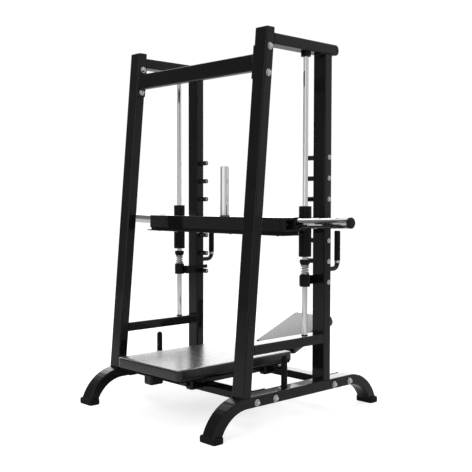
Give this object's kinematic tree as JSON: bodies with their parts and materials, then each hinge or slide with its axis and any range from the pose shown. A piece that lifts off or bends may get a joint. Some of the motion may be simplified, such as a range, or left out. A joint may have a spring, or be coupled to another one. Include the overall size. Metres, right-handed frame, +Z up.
{
  "type": "vertical leg press machine",
  "caption": "Plate-loaded vertical leg press: a foot carriage slides on chrome guide rods above a seat with a tilting back pad, over sprung stops hooked on catch pegs.",
  "frame": {"origin": "centre of the floor rectangle under the machine, at floor level", "axes": "+X to the right side of the machine, +Y to the rear where the back pad is, -Y to the leaning front uprights, +Z up"},
  "size_m": [1.6368, 1.2375, 1.8053],
  "materials": {
    "back_frame": "gloss black powder coat",
    "back_pad": "black vinyl upholstery over foam",
    "back_pivot_bolt": "zinc plated steel",
    "base_cross_member_front": "gloss black powder coat",
    "base_cross_member_rear": "gloss black powder coat",
    "base_tube_left": "gloss black powder coat",
    "base_tube_right": "gloss black powder coat",
    "bearing_housing_left": "satin black powder coat",
    "bearing_housing_right": "satin black powder coat",
    "bumper_cup_left": "black moulded rubber",
    "bumper_cup_right": "black moulded rubber",
    "bumper_spring_left": "zinc plated steel",
    "bumper_spring_right": "zinc plated steel",
    "carriage_beam": "gloss black powder coat",
    "foot_cap_front_left": "black moulded rubber",
    "foot_cap_front_right": "black moulded rubber",
    "foot_cap_rear_left": "black moulded rubber",
    "foot_cap_rear_right": "black moulded rubber",
    "foot_plate": "satin black powder coat",
    "front_upright_left": "gloss black powder coat",
    "front_upright_right": "gloss black powder coat",
    "guide_rod_left": "polished chrome plate",
    "guide_rod_right": "polished chrome plate",
    "horn_cap_left": "black moulded plastic",
    "horn_cap_right": "black moulded plastic",
    "linear_bushing_left": "dark bearing plastic",
    "linear_bushing_right": "dark bearing plastic",
    "lower_brace_left": "gloss black powder coat",
    "lower_brace_right": "gloss black powder coat",
    "plate_spacer": "black moulded rubber",
    "rear_grip_left": "black moulded rubber",
    "rear_grip_right": "black moulded rubber",
    "rear_handle_left": "gloss black powder coat",
    "rear_handle_right": "gloss black powder coat",
    "rear_upright_left": "gloss black powder coat",
    "rear_upright_right": "gloss black powder coat",
    "rod_clamp_left": "satin black powder coat",
    "rod_clamp_right": "satin black powder coat",
    "seat_frame": "gloss black powder coat",
    "seat_hand_post_left": "black moulded rubber",
    "seat_hand_post_right": "black moulded rubber",
    "seat_pad": "black vinyl upholstery over foam",
    "side_tube_cap_left": "black moulded plastic",
    "side_tube_cap_right": "black moulded plastic",
    "stop_arm_left": "satin black powder coat",
    "stop_arm_right": "satin black powder coat",
    "top_cross_member": "gloss black powder coat",
    "top_side_tube_left": "gloss black powder coat",
    "top_side_tube_right": "gloss black powder coat",
    "upright_cap_left": "black moulded plastic",
    "upright_cap_right": "black moulded plastic",
    "weight_horn_left": "polished chrome plate",
    "weight_horn_right": "polished chrome plate",
    "weight_post": "polished chrome plate"
  },
  "bodies": {
    "frame": {"back_pivot_bolt": "back_pivot_bolt", "base_cross_member_front": "base_cross_member_front", "base_cross_member_rear": "base_cross_member_rear", "base_tube_left": "base_tube_left", "base_tube_right": "base_tube_right", "foot_cap_front_left": "foot_cap_front_left", "foot_cap_front_right": "foot_cap_front_right", "foot_cap_rear_left": "foot_cap_rear_left", "foot_cap_rear_right": "foot_cap_rear_right", "front_upright_left": "front_upright_left", "front_upright_right": "front_upright_right", "guide_rod_left": "guide_rod_left", "guide_rod_right": "guide_rod_right", "lower_brace_left": "lower_brace_left", "lower_brace_right": "lower_brace_right", "rear_grip_left": "rear_grip_left", "rear_grip_right": "rear_grip_right", "rear_handle_left": "rear_handle_left", "rear_handle_right": "rear_handle_right", "rear_upright_left": "rear_upright_left", "rear_upright_right": "rear_upright_right", "rod_clamp_left": "rod_clamp_left", "rod_clamp_right": "rod_clamp_right", "seat_frame": "seat_frame", "seat_hand_post_left": "seat_hand_post_left", "seat_hand_post_right": "seat_hand_post_right", "seat_pad": "seat_pad", "side_tube_cap_left": "side_tube_cap_left", "side_tube_cap_right": "side_tube_cap_right", "top_cross_member": "top_cross_member", "top_side_tube_left": "top_side_tube_left", "top_side_tube_right": "top_side_tube_right", "upright_cap_left": "upright_cap_left", "upright_cap_right": "upright_cap_right"},
    "carriage": {"carriage_beam": "carriage_beam", "plate_spacer": "plate_spacer", "foot_plate": "foot_plate", "weight_post": "weight_post", "bearing_housing_left": "bearing_housing_left", "bearing_housing_right": "bearing_housing_right", "linear_bushing_left": "linear_bushing_left", "linear_bushing_right": "linear_bushing_right", "weight_horn_left": "weight_horn_left", "weight_horn_right": "weight_horn_right", "horn_cap_left": "horn_cap_left", "horn_cap_right": "horn_cap_right"},
    "stop_left": {"stop_arm_left": "stop_arm_left", "bumper_spring_left": "bumper_spring_left"},
    "stop_right": {"stop_arm_right": "stop_arm_right", "bumper_spring_right": "bumper_spring_right"},
    "cup_left": {"bumper_cup_left": "bumper_cup_left"},
    "cup_right": {"bumper_cup_right": "bumper_cup_right"},
    "back": {"back_pad": "back_pad", "back_frame": "back_frame"}
  },
  "joints": [
    {"name": "carriage_slide", "type": "slide", "parent": "frame", "child": "carriage", "axis": [0, 0, 1], "range_m": [-0.0135, 0.698]},
    {"name": "stop_swing_left", "type": "hinge", "parent": "frame", "child": "stop_left", "pos_m": [-0.466, 0.003, 0.629], "axis": [0, 0, -1], "range_deg": [0, 35]},
    {"name": "bumper_press_left", "type": "slide", "parent": "stop_left", "child": "cup_left", "axis": [0, 0, 1], "range_m": [-0.02, 0], "stiffness_N_per_m": 15000, "deforming": ["bumper_spring_left"]},
    {"name": "stop_swing_right", "type": "hinge", "parent": "frame", "child": "stop_right", "pos_m": [0.466, 0.003, 0.629], "axis": [0, 0, 1], "range_deg": [0, 35]},
    {"name": "bumper_press_right", "type": "slide", "parent": "stop_right", "child": "cup_right", "axis": [0, 0, 1], "range_m": [-0.02, 0], "stiffness_N_per_m": 15000, "deforming": ["bumper_spring_right"]},
    {"name": "back_tilt", "type": "hinge", "parent": "frame", "child": "back", "pos_m": [0, 0.187, 0.184], "axis": [1, 0, 0], "range_deg": [0, 45]}
  ]
}
